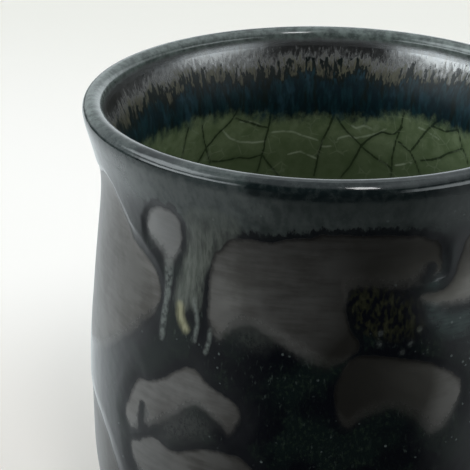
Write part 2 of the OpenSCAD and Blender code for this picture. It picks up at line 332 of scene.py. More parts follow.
class Track:
    """A line of the cup's section: radius, height and outward normal by length along it."""

    def __init__(self, curves, samples=400):
        points = [cubic(c, np.linspace(0, 1, samples)) for c in curves]
        line = np.concatenate([points[0]] + [p[1:] for p in points[1:]])
        steps = np.linalg.norm(np.diff(line, axis=0), axis=1)
        slope = np.gradient(line, axis=0)
        slope /= np.linalg.norm(slope, axis=1)[:, None]
        self.length = np.concatenate([[0], np.cumsum(steps)])
        self.r, self.z = line.T
        self.nr, self.nz = slope[:, 1], -slope[:, 0]

    def at(self, s, gap=0.0):
        """Radius and height at a length along the line, moved out by a gap."""
        r = np.interp(s, self.length, self.r) + gap * np.interp(s, self.length, self.nr)
        z = np.interp(s, self.length, self.z) + gap * np.interp(s, self.length, self.nz)
        return r, z

    def length_at(self, z):
        """The length along the line at which it first reaches a height."""
        i = np.nonzero(np.diff(np.sign(self.z - z)))[0][0]
        share = (z - self.z[i]) / (self.z[i + 1] - self.z[i])
        return self.length[i] + share * (self.length[i + 1] - self.length[i])


LIP_IN_R = MOUTH_R - LIP_T
LIP_CREST_R = MOUTH_R - LIP_T / 2
NECK_IN_R = NECK_R - WALL_T
BELLY_IN_R = BELLY_R - WALL_T
HIP = [(FOOT_R, FOOT_H), (FOOT_R + HIP_REACH, FOOT_H),
       (BELLY_R, BELLY_Z - BELLY_LOW_SHARE * (BELLY_Z - FOOT_H)), (BELLY_R, BELLY_Z)]
BODY = [(BELLY_R, BELLY_Z), (BELLY_R, BELLY_Z + BELLY_HIGH_SHARE * (NECK_Z - BELLY_Z)),
        (NECK_R, NECK_Z - NECK_LOW_SHARE * (NECK_Z - BELLY_Z)), (NECK_R, NECK_Z)]
FLARE = [(NECK_R, NECK_Z), (NECK_R, NECK_Z + NECK_HIGH_SHARE * (LIP_Z - NECK_Z)),
         (MOUTH_R, LIP_Z - LIP_PULL), (MOUTH_R, LIP_Z)]
BEAD_RISE = LIP_Z + BEAD_SHARE * (CUP_H - LIP_Z)
BEAD_HALF = BEAD_SHARE * LIP_T / 2
BEAD_OUT = [(MOUTH_R, LIP_Z), (MOUTH_R, BEAD_RISE), (LIP_CREST_R + BEAD_HALF, CUP_H),
            (LIP_CREST_R, CUP_H)]
BEAD_IN = [(LIP_CREST_R, CUP_H), (LIP_CREST_R - BEAD_HALF, CUP_H), (LIP_IN_R, BEAD_RISE),
           (LIP_IN_R, LIP_Z)]
THROAT = [(LIP_IN_R, LIP_Z), (LIP_IN_R, LIP_Z - LIP_PULL),
          (NECK_IN_R, NECK_Z + NECK_HIGH_SHARE * (LIP_Z - NECK_Z)), (NECK_IN_R, NECK_Z)]
INSIDE = [(NECK_IN_R, NECK_Z), (NECK_IN_R, NECK_Z - NECK_LOW_SHARE * (NECK_Z - INSIDE_BELLY_Z)),
          (BELLY_IN_R, INSIDE_BELLY_Z + INSIDE_HIGH_SHARE * (NECK_Z - INSIDE_BELLY_Z)),
          (BELLY_IN_R, INSIDE_BELLY_Z)]
BOWL = [(BELLY_IN_R, INSIDE_BELLY_Z),
        (BELLY_IN_R, INSIDE_BELLY_Z - INSIDE_LOW_SHARE * (INSIDE_BELLY_Z - FLOOR_Z)),
        (INSIDE_FLOOR_R, FLOOR_Z), (0, FLOOR_Z)]

OUTER_WALL = Track([HIP, BODY, FLARE])
LIP_LINE = Track([FLARE, BEAD_OUT, BEAD_IN, THROAT])
INNER_WALL = Track([THROAT, INSIDE, BOWL])
WHOLE = Track([HIP, BODY, FLARE, BEAD_OUT, BEAD_IN, THROAT, INSIDE, BOWL])


# Noise and distances
def hashed(ix, iy, iz, seed):
    """A repeatable value from 0 to 1 for each cell of a lattice."""
    h = (ix * 374761393 + iy * 668265263 + iz * 2147483647 + seed * 974634777) & 0x7FFFFFFF
    h = ((h ^ (h >> 13)) * 1274126177) & 0x7FFFFFFF
    return ((h ^ (h >> 16)) & 0xFFFF) / 65535.0


def smooth_noise(points, cell, seed):
    """Smooth noise from -1 to 1 at points, whose swells are about a cell wide."""
    scaled = points / cell
    base = np.floor(scaled).astype(np.int64)
    f = scaled - base
    f = f * f * (3 - 2 * f)
    total = 0.0
    for corner in np.ndindex(2, 2, 2):
        weight = np.where(corner, f, 1 - f).prod(-1)
        total = total + weight * hashed(*np.moveaxis(base + corner, -1, 0), seed)
    return 2 * total - 1


def smooth_loop(corners, steps=6):
    """A closed smooth line through the corners of an outline."""
    p = np.array(corners, float)
    before, after, beyond = np.roll(p, 1, 0), np.roll(p, -1, 0), np.roll(p, -2, 0)
    t = np.linspace(0, 1, steps, endpoint=False)[:, None, None]
    out = (p + t / 2 * (after - before)
           + t**2 / 2 * (2 * before - 5 * p + 4 * after - beyond)
           + t**3 / 2 * (3 * p - 3 * after + beyond - before))
    return out.transpose(1, 0, 2).reshape(-1, 2)


def gap_to_line(x, y, line, closed, far):
    """Distance from each point to a line, at most far, and negative inside a closed one."""
    found = np.full(x.shape, far)
    lo, hi = line.min(0) - far, line.max(0) + far
    near = (x > lo[0]) & (x < hi[0]) & (y > lo[1]) & (y < hi[1])
    px, py = x[near], y[near]
    best = np.full(px.shape, far)
    inside = np.zeros(px.shape, bool)
    starts, ends = (line, np.roll(line, -1, 0)) if closed else (line[:-1], line[1:])
    for (ax, ay), (bx, by) in zip(starts, ends):
        ex, ey = bx - ax, by - ay
        share = ((px - ax) * ex + (py - ay) * ey) / max(ex * ex + ey * ey, 1e-9)
        share = np.clip(share, 0, 1)
        best = np.minimum(best, np.hypot(px - ax - share * ex, py - ay - share * ey))
        if closed and ay != by:
            inside ^= ((ay > py) != (by > py)) & (px < ax + (py - ay) / ey * ex)
    found[near] = np.where(inside, -best, best)
    return found


def unrolled(azimuth, drop, middle, wall):
    """A wall's points on a flat sheet: length round the cup from a middle azimuth, and drop."""
    turn = (azimuth - middle + 180) % 360 - 180
    height = CUP_H - drop
    order = np.argsort(wall.z)
    radius = np.interp(height, wall.z[order], wall.r[order])
    return np.radians(turn) * radius, drop


def line_distance(azimuth, drop, lines, wall, far=4.0, closed=False):
    """Distance to the nearest of some lines, at most far, and negative inside closed ones."""
    nearest = np.full(azimuth.shape, far)
    for points in lines:
        points = np.array(points, float)
        middle = (points[:, 0].min() + points[:, 0].max()) / 2
        x, y = unrolled(azimuth, drop, middle, wall)
        line = np.stack(unrolled(points[:, 0], points[:, 1], middle, wall), 1)
        nearest = np.minimum(nearest, gap_to_line(x, y, line, closed, far))
    return nearest


def signed_distance(azimuth, drop, outlines, wall, far=4.0):
    """Distance to the nearest of some outlines, negative inside them, at most far."""
    loops = [smooth_loop(corners) for corners in outlines]
    return line_distance(azimuth, drop, loops, wall, far, closed=True)


def turn_from(azimuth, middle):
    """Degrees round the cup from a middle azimuth, at most 180."""
    return np.abs((azimuth - middle + 180) % 360 - 180)


# Meshes
def placed(name, data):
    """A new object of some data, in the scene."""
    obj = bpy.data.objects.new(name, data)
    bpy.context.scene.collection.objects.link(obj)
    return obj


def azimuths(columns, seen_deg=0.0, crowding=0.0):
    """Azimuths round the cup in radians, closer together on the seen side."""
    even = np.linspace(0, 2 * math.pi, columns, endpoint=False)
    return math.radians(seen_deg) + even - crowding * np.sin(even)


def turned(r, z, angles):
    """A grid of points from radii and heights, each row turned round the axis."""
    r, z = np.broadcast_to(r, (len(r), len(angles))), np.broadcast_to(z, (len(z), len(angles)))
    return np.stack([r * np.cos(angles), r * np.sin(angles), z], -1)


def spread(angles, grid):
    """The azimuth in degrees of each point of a grid whose columns lie at angles."""
    return np.broadcast_to(np.degrees(angles)[None, :], grid.shape)


def grid_normals(grid):
    """Outward normals of a grid whose rows climb the outside and columns run round it."""
    down = np.gradient(grid, axis=0, edge_order=2)
    wrapped = np.concatenate([grid[:, -1:], grid, grid[:, :1]], 1)
    normal = np.cross(wrapped[:, 2:] - wrapped[:, :-2], down)
    return normal / np.maximum(np.linalg.norm(normal, axis=2, keepdims=True), 1e-12)


def make_piece(name, tiers, closed, attributes, material, nodes):
    """A closed skin from tiers of rows. A closed one joins its last row to its first, and
    another one ends in a pole at each end. Attributes are grids over the first tier."""
    columns = tiers[0].shape[1]
    rows = np.concatenate(tiers)
    normals = np.concatenate([grid_normals(t) for t in tiers])
    count = len(rows)
    verts = rows.reshape(-1, 3)
    norms = normals.reshape(-1, 3)
    index = np.arange(count * columns).reshape(count, columns)
    low, high = (index, np.roll(index, -1, 0)) if closed else (index[:-1], index[1:])
    quads = np.stack([low, np.roll(low, -1, 1), np.roll(high, -1, 1), high], -1).reshape(-1, 4)
    faces = quads.tolist()
    if not closed:
        for end, turn in ((0, -1), (-1, 1)):
            pole = len(verts)
            verts = np.concatenate([verts, [[0, 0, rows[end, :, 2].mean()]]])
            norms = np.concatenate([norms, [[0, 0, np.sign(normals[end, :, 2].mean())]]])
            faces += [[pole, a, b][::turn] for a, b in zip(index[end], np.roll(index[end], -1))]
    mesh = bpy.data.meshes.new(name)
    mesh.from_pydata((verts * MM).tolist(), [], faces)
    mesh.polygons.foreach_set("use_smooth", [True] * len(mesh.polygons))
    for key, grid in attributes.items():
        values = np.zeros(len(verts), np.float32)
        values[: grid.size] = grid.ravel()
        mesh.attributes.new(key, "FLOAT", "POINT").data.foreach_set("value", values)
    mesh.update()
    mesh.normals_split_custom_set_from_vertices(norms.tolist())
    mesh.materials.append(material)
    obj = placed(name, mesh)
    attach(obj, "root")
    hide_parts(*nodes)


# Node helpers
class Nodes:
    """Short words for building a tree of shader nodes."""

    def __init__(self, tree):
        self.tree = tree
        tree.nodes.clear()

    def feed(self, socket, value):
        """Link a socket to another one, or set it to a number, vector or colour."""
        if isinstance(value, bpy.types.NodeSocket):
            self.tree.links.new(value, socket)
        elif socket.type == "RGBA":
            socket.default_value = (*value, 1.0)
        else:
            socket.default_value = value

    def add(self, kind, inputs=(), **settings):
        """A node with its settings, and with its inputs fed by name or place."""
        node = self.tree.nodes.new("ShaderNode" + kind)
        for key, value in settings.items():
            setattr(node, key, value)
        for key, value in dict(inputs).items():
            self.feed(node.inputs[key], value)
        return node

    def math(self, operation, a, b=0.0, c=0.0, clamp=False):
        node = self.add("Math", enumerate((a, b, c)), operation=operation, use_clamp=clamp)
        return node.outputs[0]

    def times(self, a, b, clamp=False):
        return self.math("MULTIPLY", a, b, clamp=clamp)

    def plus(self, a, b):
        return self.math("ADD", a, b)

    def swing(self, value, width):
        """A value from 0 to 1, turned into one that swings over a width about 0."""
        return self.math("MULTIPLY_ADD", value, width, -width / 2)

    def fade(self, value, low, high, start=0.0, end=1.0):
        """A smooth step from start at low to end at high."""
        inputs = enumerate((value, low, high, start, end))
        return self.add("MapRange", inputs, interpolation_type="SMOOTHSTEP").outputs[0]

    def mix(self, share, a, b):
        """Colour a, turning to colour b where the share is 1."""
        return self.add("Mix", {0: share, 6: a, 7: b}, data_type="RGBA").outputs[2]

    def layers(self, colour, *layers):
        """A colour with others laid over it in turn, each by its own share."""
        for share, over in layers:
            colour = self.mix(share, colour, over)
        return colour

    def part(self, vector, axis):
        return self.add("SeparateXYZ", {0: vector}).outputs[axis]

    def vector(self, operation, *inputs):
        return self.add("VectorMath", enumerate(inputs), operation=operation).outputs

    def facing(self, vector, azimuth, full, fading):
        """1 where a vector points within the full half width of an azimuth, fading to 0."""
        unit = self.vector("NORMALIZE", self.vector("MULTIPLY", vector, (1, 1, 0))[0])[0]
        a = math.radians(azimuth)
        dot = self.vector("DOT_PRODUCT", unit, (math.cos(a), math.sin(a), 0))["Value"]
        return self.fade(dot, math.cos(math.radians(fading)), math.cos(math.radians(full)))

    def camera_ray(self):
        return self.add("LightPath").outputs["Is Camera Ray"]


class Paint(Nodes):
    """A material, and the words that place its pattern on the cup."""

    def __init__(self, name):
        self.material = bpy.data.materials.new(name)
        self.material.use_nodes = True
        super().__init__(self.material.node_tree)
        self.shader = self.add("BsdfPrincipled")
        self.add("OutputMaterial", {"Surface": self.shader.outputs[0]})
        self.mm = self.scaled(self.add("TexCoord").outputs["Object"], (1 / MM, 1 / MM, 1 / MM))

    def scaled(self, vector, scale):
        return self.add("Mapping", {"Vector": vector, "Scale": scale}).outputs[0]

    def drop(self):
        """Depth under the top of the lip, in mm."""
        return self.math("SUBTRACT", CUP_H, self.part(self.mm, "Z"))

    def radius(self):
        """Distance from the cup's axis, in mm."""
        return self.vector("LENGTH", self.scaled(self.mm, (1, 1, 0)))["Value"]

    def noise(self, size, detail=3, rough=0.5, tall=1):
        """Noise from about 0 to 1, whose swells are about size mm wide and tall times as high."""
        place = self.scaled(self.mm, (1 / size, 1 / size, 1 / (size * tall)))
        inputs = {"Vector": place, "Scale": 1.0, "Detail": detail, "Roughness": rough}
        return self.add("TexNoise", inputs).outputs[0]

    def cells(self, size, feature="F1", random=1.0):
        """Distance to the nearest cell point, or to the nearest cell edge, in cells."""
        place = self.scaled(self.mm, (1 / size, 1 / size, 1 / size))
        inputs = {"Vector": place, "Scale": 1.0, "Randomness": random}
        return self.add("TexVoronoi", inputs, feature=feature).outputs["Distance"]

    def mark(self, name):
        """The strength of a mark, an attribute of the mesh."""
        return self.add("Attribute", attribute_name=name).outputs["Fac"]

    def bump(self, height, depth):
        """A surface whose height in mm is depth times the height from 0 to 1."""
        relief = self.add("Bump", {"Distance": depth * MM, "Height": height})
        self.feed(self.shader.inputs["Normal"], relief.outputs[0])

    def set(self, **values):
        for key, value in values.items():
            self.feed(self.shader.inputs[key.replace("_", " ")], value)
        return self.material


# Materials
BLUE_BLACK = (0.0005, 0.0008, 0.0022)
TEAL_BLACK = (0.0022, 0.005, 0.0046)
UPPER_SHADE = (0.016, 0.0205, 0.0195)
UPPER_DARK = (0.042, 0.05, 0.047)
TEAL_GREY = (0.076, 0.087, 0.0815)
DARK_GREEN = (0.0085, 0.0145, 0.009)
BROWN_DEEP = (0.12, 0.112, 0.102)
BROWN_GREY = (0.196, 0.187, 0.175)
BROWN_SHADE = (0.048, 0.045, 0.039)
BROWN_SHEEN = (0.32, 0.32, 0.315)
WINDOW_METAL = 0.88
BAND_GREY = (0.072, 0.076, 0.0725)
ASH_PALE = (0.112, 0.12, 0.102)
ASH_LINE = (0.13, 0.143, 0.13)
ASH_YELLOW = (0.25, 0.24, 0.15)
ASH_CORE = (0.13, 0.125, 0.07)
VEIL_GREY = (0.03, 0.031, 0.0285)
FLECK = (0.024, 0.031, 0.027)
TEAL_AND_REFLECTION = (0.032, 0.048, 0.0445)
OLIVE_DARK = (0.007, 0.0075, 0.0035)
OLIVE = (0.0165, 0.0165, 0.0085)
SPECK_PALE = (0.09, 0.105, 0.1)


def under_lip(p, drop):
    """The mottled grey-green of the dark coat where it thins out under the lip, deepened by painted
    shade.
    """
    mottle = p.noise(1.2, 4, 0.6, tall=1.8)
    shaded = p.times(p.mark("shade_and_sheen"), -1.2, clamp=True)
    band = p.times(p.fade(drop, 8, 5), p.fade(shaded, 0, 1, 1, 0.2))
    return p.layers(
        p.mix(p.fade(mottle, 0.3, 0.7), UPPER_DARK, TEAL_GREY),
        (shaded, UPPER_SHADE),
        (p.times(band, p.fade(mottle, 0.36, 0.66, 0.1, 0.6)), BAND_GREY))


def coat_dark(p, drop, gap, soft, grain, cloud):
    """The blue-black of the coat with its mottling, specks, runs and pale marks."""
    patch = p.fade(p.noise(7), 0.4, 0.62)
    green = p.times(p.fade(grain, 0.5, 0.68), p.math("MULTIPLY_ADD", patch, 0.75, 0.15))
    flecks = p.fade(p.noise(0.5, 2, 0.6, tall=2.2), 0.58, 0.74)
    flecks = p.times(flecks, p.fade(p.noise(9, 2, 0.5), 0.46, 0.62, 0.15, 0.9))
    high = p.fade(p.plus(drop, p.swing(p.noise(3), 8)), 11.5, 5)
    specks = p.times(p.fade(p.cells(1.5), 0.17, 0.09, 0, 0.7), p.fade(p.noise(3, 2), 0.5, 0.6))
    olive = p.mark("olive")
    dots = p.noise(0.6, 2, 0.5, tall=2)
    fine = p.noise(0.75, 3, 0.6, tall=5)
    run = p.mark("ash")
    ash = p.times(run, p.fade(fine, 0.25, 0.72, 0.35, 0.95))
    ink = p.times(p.fade(p.plus(gap, p.swing(fine, 3.4)), 1.5, 0.8),
                  p.fade(run, 0.9, 0.3, 0.35, 1))
    ink = p.times(ink, p.fade(soft, 0.05, 0.45, 0.84, 0.084))
    broken = p.fade(p.noise(0.9, 3, 0.7), 0.34, 0.6, 0.25, 1)
    return p.layers(
        p.mix(patch, BLUE_BLACK, TEAL_BLACK),
        (green, DARK_GREEN),
        # Teal-grey at the right, partly the coat's own tint and partly painted reflection
        (p.times(p.mark("teal_and_reflection"), p.fade(cloud, 0.32, 0.58)), TEAL_AND_REFLECTION),
        (flecks, FLECK),
        (high, under_lip(p, drop)),
        (specks, SPECK_PALE),
        (olive, BLUE_BLACK),
        (p.times(olive, p.fade(dots, 0.42, 0.52)), OLIVE_DARK),
        (p.times(olive, p.fade(dots, 0.5, 0.72)), OLIVE),
        (p.times(ash, p.fade(drop, 7.5, 11.5, 0.6, 1)), ASH_PALE),
        (ink, BLUE_BLACK),
        (p.times(p.mark("veil"), p.fade(grain, 0.3, 0.62, 0.35, 0.9)), VEIL_GREY),
        (p.times(p.mark("ash_line"), broken), ASH_LINE),
        (p.mark("ash_tip"), p.mix(p.fade(fine, 0.4, 0.6), ASH_CORE, ASH_YELLOW)))


def outer_glaze_material():
    """Dark glossy coat with satin brown windows, pale ash runs and fine specks."""
    p = Paint("outer_glaze")
    drop = p.drop()
    soft, shade_and_sheen = p.mark("soft"), p.mark("shade_and_sheen")
    gap = p.plus(p.mark("window"), p.swing(p.noise(0.9), 0.6))
    grain = p.noise(0.5, 3, 0.65, tall=1.5)
    worn = p.plus(gap, p.times(soft, p.swing(grain, 2.6)))
    window = p.fade(worn, p.math("MULTIPLY_ADD", soft, 0.8, 0.15),
                    p.math("MULTIPLY_ADD", soft, -3.2, -0.15))
    cloud = p.plus(p.times(p.noise(7, 4, 0.55), 0.62),
                   p.times(p.noise(6, 3, 0.6, tall=0.14), 0.38))
    # The brown, deepened by painted shade and made paler by painted sheen, patch by patch
    brown = p.layers(
        p.mix(p.fade(cloud, 0.36, 0.6), BROWN_DEEP, BROWN_GREY),
        (p.times(shade_and_sheen, -1, clamp=True), BROWN_SHADE),
        (p.times(shade_and_sheen, 1, clamp=True), BROWN_SHEEN),
        (p.fade(gap, -0.7, 0, 0, 0.6), BLUE_BLACK))
    colour = p.layers(
        coat_dark(p, drop, gap, soft, grain, cloud),
        (window, brown),
        (p.fade(drop, 6.5, 4.5), under_lip(p, drop)))
    p.bump(p.plus(p.noise(5, 2), p.times(grain, 0.05)), 0.1)
    return p.set(Base_Color=colour, Roughness=p.fade(window, 0, 1, 0.12, 0.32),
                 Metallic=p.times(window, WINDOW_METAL), IOR=1.5)


METAL_BROWN = (0.165, 0.167, 0.169)
METAL_GREY = (0.156, 0.155, 0.152)
METAL_HAIR = (0.14, 0.136, 0.128)
LIP_DARK = (0.003, 0.006, 0.0065)
LIP_TEAL = (0.014, 0.022, 0.021)
LIP_GREY = (0.038, 0.045, 0.043)
LIP_WORN = (0.03, 0.042, 0.037)
LIP_PALE = (0.11, 0.135, 0.122)
OLIVE_DEEP = (0.026, 0.025, 0.016)
OLIVE_STREAK = (0.084, 0.08, 0.048)
TOOTH_BLACK = (0.003, 0.007, 0.006)
INK_BLUE = (0.0014, 0.011, 0.017)
DEEP_TEAL = (0.005, 0.028, 0.036)
BLUE_CLOUD = (0.012, 0.04, 0.056)
CELADON = (0.125, 0.172, 0.082)
CELADON_DEEP = (0.072, 0.103, 0.047)
CELADON_PALE = (0.205, 0.26, 0.143)
CRACK_DARK = (0.018, 0.033, 0.013)
CRACK_PALE = (0.52, 0.58, 0.44)
CLAY_DARK = (0.055, 0.042, 0.033)
CLAY_PALE = (0.12, 0.095, 0.075)
CLAY_SPECK = (0.02, 0.015, 0.012)


def metal_brown(p, drop):
    """The brown glaze inside the lip: deepest at the top, with fine upright hairs below."""
    fine = p.noise(0.5, 4, 0.65, tall=6)
    lower = p.plus(drop, p.swing(fine, 5))
    base = p.mix(p.fade(lower, 2, 4), METAL_BROWN, METAL_GREY)
    return p.mix(p.fade(fine, 0.5, 0.7, 0, 0.4), base, METAL_HAIR)


def lip_material():
    """A thin glaze over the lip: worn pale along its crest, dark outside and brown inside."""
    p = Paint("lip_glaze")
    drop = p.drop()
    wander = p.swing(p.noise(1.6, 3, 0.6), 0.9)
    inward = p.fade(p.radius(), LIP_CREST_R + 0.4, LIP_CREST_R - 0.6)
    depth = p.plus(drop, p.math("MULTIPLY_ADD", inward, -1.2, wander))
    crest = p.times(p.fade(depth, 1.3, 0.2), p.mark("worn"))
    mottle = p.fade(p.noise(1.3, 4, 0.65), 0.35, 0.65)
    dark = p.mark("dark_lip")
    colour = p.layers(
        p.mix(mottle, LIP_TEAL, LIP_GREY),
        (p.fade(p.plus(drop, wander), 1.6, 2.8), under_lip(p, drop)),
        (inward, metal_brown(p, drop)),
        (p.times(crest, 0.85), p.mix(mottle, LIP_WORN, LIP_PALE)),
        (p.times(dark, p.fade(mottle, 0, 1, 0.97, 0.72)), LIP_DARK))
    metal = p.times(p.math("SUBTRACT", inward, crest, clamp=True),
                    p.fade(drop, 0.6, 2.8, 0.15, WINDOW_METAL))
    rough = p.plus(p.fade(dark, 0, 1, 0.13, 0.08),
                   p.times(inward, p.fade(drop, 0.9, 2, 0, 0.14)))
    p.bump(p.noise(3, 2), 0.06)
    return p.set(Base_Color=colour, Roughness=rough, Metallic=metal, IOR=1.5)


def crackled_green(p, drop):
    """The pale green pool, with stained cracks, pale ones and a fine net of hairs."""
    own = p.plus(p.mark("crack"), p.swing(p.noise(0.8, 2), 0.24))
    broken = p.fade(p.noise(3, 3, 0.6), 0.34, 0.6)
    pale = p.times(p.fade(p.mark("pale_crack"), 0.28, 0.08, 0, 0.5), broken)
    hair = p.fade(p.cells(2.6, "DISTANCE_TO_EDGE"), 0.06, 0.02)
    net = p.fade(p.cells(6.5, "DISTANCE_TO_EDGE", random=0.9), 0.035, 0.012)
    return p.layers(
        p.mix(p.fade(p.noise(3, 4, 0.6), 0.3, 0.72), CELADON, CELADON_PALE),
        (p.fade(drop, 17, 26, 0, 0.6), CELADON_DEEP),
        (pale, CRACK_PALE),
        (p.fade(own, 0.9, 0.1, 0, 0.22), CRACK_DARK),
        (p.fade(own, 0.28, 0.08, 0, 0.85), CRACK_DARK),
        (p.times(hair, p.fade(p.noise(4, 2), 0.5, 0.6, 0, 0.11)), CRACK_PALE),
        (p.times(net, p.mark("free_net")), CRACK_DARK))


def inner_glaze_material():
    """Brown at the lip, drawn in streaks into a blue-black band, and a green crackled pool."""
    p = Paint("inner_glaze")
    drop = p.drop()
    hairs = p.noise(0.45, 3, 0.6, tall=7)
    spikes = p.fade(p.noise(0.85, 3, 0.6, tall=9), 0.42, 0.64)
    level = p.plus(drop, p.swing(p.noise(5, 2, 0.5, tall=3), 4.4))
    hair_level = p.plus(level, p.swing(hairs, 7))
    short = p.mark("short_brown")
    black = p.fade(p.plus(p.plus(level, short), p.times(spikes, 3.6)), 8.3, 9)
    bluish = p.fade(p.plus(p.plus(hair_level, short), p.times(spikes, 1.2)), 8.7, 10.2)
    blue = p.layers(
        p.mix(p.fade(p.noise(0.9, 3, 0.65, tall=4), 0.4, 0.66), INK_BLUE, DEEP_TEAL),
        (p.fade(p.noise(2.5, 3, 0.6, tall=2.5), 0.5, 0.66), BLUE_CLOUD),
        (p.fade(p.noise(1.1, 3, 0.6, tall=6), 0.52, 0.66, 0, 0.8), TOOTH_BLACK))
    olive = p.mix(p.fade(hairs, 0.36, 0.62), OLIVE_DEEP, OLIVE_STREAK)
    lower = p.plus(drop, p.swing(p.noise(2, 5, 0.7, tall=1.6), 6))
    lower = p.math("SUBTRACT", lower, p.mark("deep_blue"))
    colour = p.layers(
        metal_brown(p, drop),
        (p.fade(hair_level, 5, 6.8, 0, 0.9), olive),
        (black, TOOTH_BLACK),
        (bluish, blue),
        (p.fade(lower, 12.8, 16), crackled_green(p, drop)))
    covered = p.math("MAXIMUM", bluish, black)
    metal = p.math("SUBTRACT", p.fade(hair_level, 6.6, 3.2), covered, clamp=True)
    rough = p.fade(hair_level, 3.5, 7, 0.19, 0.42)
    p.bump(p.plus(p.noise(4, 2), p.times(p.noise(0.7, 2, 0.5, tall=5), 0.25)), 0.1)
    return p.set(Base_Color=colour, Roughness=rough, Metallic=p.times(metal, 0.95), IOR=1.45)


def clay_material():
    p = Paint("stoneware")
    grain = p.noise(0.6, 4, 0.7)
    colour = p.mix(p.fade(grain, 0.3, 0.7), CLAY_DARK, CLAY_PALE)
    colour = p.mix(p.fade(p.cells(1.4), 0.2, 0.1, 0, 0.6), colour, CLAY_SPECK)
    p.bump(grain, 0.06)
    return p.set(Base_Color=colour, Roughness=0.8)


# Pieces
def wave(angles, swells, seed):
    """A gentle wander from -1 to 1 round the cup."""
    ring = np.stack([np.cos(angles), np.sin(angles), np.zeros_like(angles)], -1)
    return smooth_noise(ring * swells, 1.0, seed)


def ramp(x, width):
    """From 0 to 1 over a width."""
    return np.clip(x / width, 0, 1)


def rounded(x, width):
    """From 0 to 1 over a width, rising steeply first, as a thick glaze's edge does."""
    share = ramp(x, width)
    return share * (2 - share)


def eased(x, width):
    """From 0 to 1 over a width, level at both ends."""
    share = ramp(x, width)
    return share * share * (3 - 2 * share)


def blended(distance, width):
    """1 inside an outline and 0 outside it, eased over a width that lies across it."""
    return eased(width / 2 - distance, width)


def stretch(azimuth, middle, half, fading):
    """0 beyond a half width from a middle azimuth, rising to 1 over a width of fading."""
    return eased(half - turn_from(azimuth, middle), fading)


def blurred(grid, rounds):
    """A grid smoothed along its rows and round its columns."""
    for _ in range(rounds):
        grid = (grid + np.roll(grid, 1, 1) + np.roll(grid, -1, 1)) / 3
        padded = np.concatenate([grid[:1], grid, grid[-1:]])
        grid = (padded[:-2] + padded[1:-1] + padded[2:]) / 3
    return grid


def coat_windows(azimuth, drop, spot):
    """Distance to the ragged edge of the nearest window in the dark coat."""
    others = [[(a, share / 100 * CUP_H) for a, share in w] for w in OTHER_WINDOWS]
    window = signed_distance(azimuth, drop, SEEN_WINDOWS + others, OUTER_WALL)
    return window + WINDOW_RAGGED * smooth_noise(spot, 1.6, 11)


def lower_side(window, s):
    """1 at a window's lower edge, where the coat has run thin, and 0 at its upper edge."""
    slope = -np.gradient(window, axis=0) / np.gradient(s, axis=0)
    return blurred(eased(blurred(slope, 5) - 0.1, 0.7), 20)


def window_shade_and_sheen(azimuth, drop):
    """How much painted shade deepens the brown, below 0, and painted sheen makes it paler, above it."""
    shade_and_sheen = 0
    for strength, corners in SHADE_AND_SHEEN_PATCHES:
        away = signed_distance(azimuth, drop, [corners], OUTER_WALL, SHADE_AND_SHEEN_FADE / 2)
        shade_and_sheen = shade_and_sheen + strength * blended(away, SHADE_AND_SHEEN_FADE)
    return np.clip(shade_and_sheen, -1, 1)


def coat_marks(azimuth, drop, r):
    """The strength of each mark on the outside, by its name."""
    wall = OUTER_WALL

    def away(outlines, traced_px):
        return signed_distance(azimuth, drop, outlines + traced(traced_px, wall), wall)

    def away_from(lines_px):
        return line_distance(azimuth, drop, traced(lines_px, wall), wall)

    lines = ramp(LINE_FADE - away_from(ASH_LINES_PX), LINE_FADE)
    lines = np.maximum(lines, TAIL_STRENGTH * blended(away([], [ASH_TAIL_PX]), TAIL_FADE))
    for spot_azimuth, spot_drop in traced([PALE_DROPS_PX], wall)[0]:
        off = np.hypot(np.radians(azimuth - spot_azimuth) * r, drop - spot_drop)
        lines = np.maximum(lines, DROP_STRENGTH * eased(DROP_R - off, DROP_R))
    return {
        "ash": ramp(ASH_FADE - away(ASH_RUNS, [ASH_FUNNEL_PX]), ASH_FADE),
        "ash_line": lines,
        "ash_tip": ramp(TIP_REACH - away_from([YELLOW_TIP_PX]), TIP_FADE),
        "olive": ramp(OLIVE_REACH - away(OLIVE_PATCHES, [OLIVE_PX]), OLIVE_FADE),
        # Teal-grey, partly the coat's own tint and partly painted reflection
        "teal_and_reflection": blended(away([], [TEAL_PX]), TEAL_FADE),
        "veil": blended(away([], VEILS_PX), VEIL_FADE),
        # Painted shade and sheen on the windows and on the coat under the lip
        "shade_and_sheen": window_shade_and_sheen(azimuth, drop),
    }


def coat_height(azimuth, drop, window, soft, above):
    """How far the dark coat stands out of the wall, and how deep a window dips."""
    over = OVER_SHARE * (OVER_T + (ROLL_T - OVER_T) * ramp(ROLL_H - above, ROLL_H) ** 2)
    filled = blurred(soft, THIN_SPREAD)
    creased = stretch(azimuth, *CREASE) * eased(CREASE_DROP - drop, 5)
    edge_w = EDGE_W + (CREASE_W - EDGE_W) * creased
    cover = 1 - (1 - eased(window, edge_w)) * (1 - filled)
    dip = WINDOW_DIP * (1 - eased(window + DIP_REACH, DIP_W)) * (1 - filled) * ramp(above, 3)
    return over * cover * rounded(above, ROLL_EDGE_W), dip


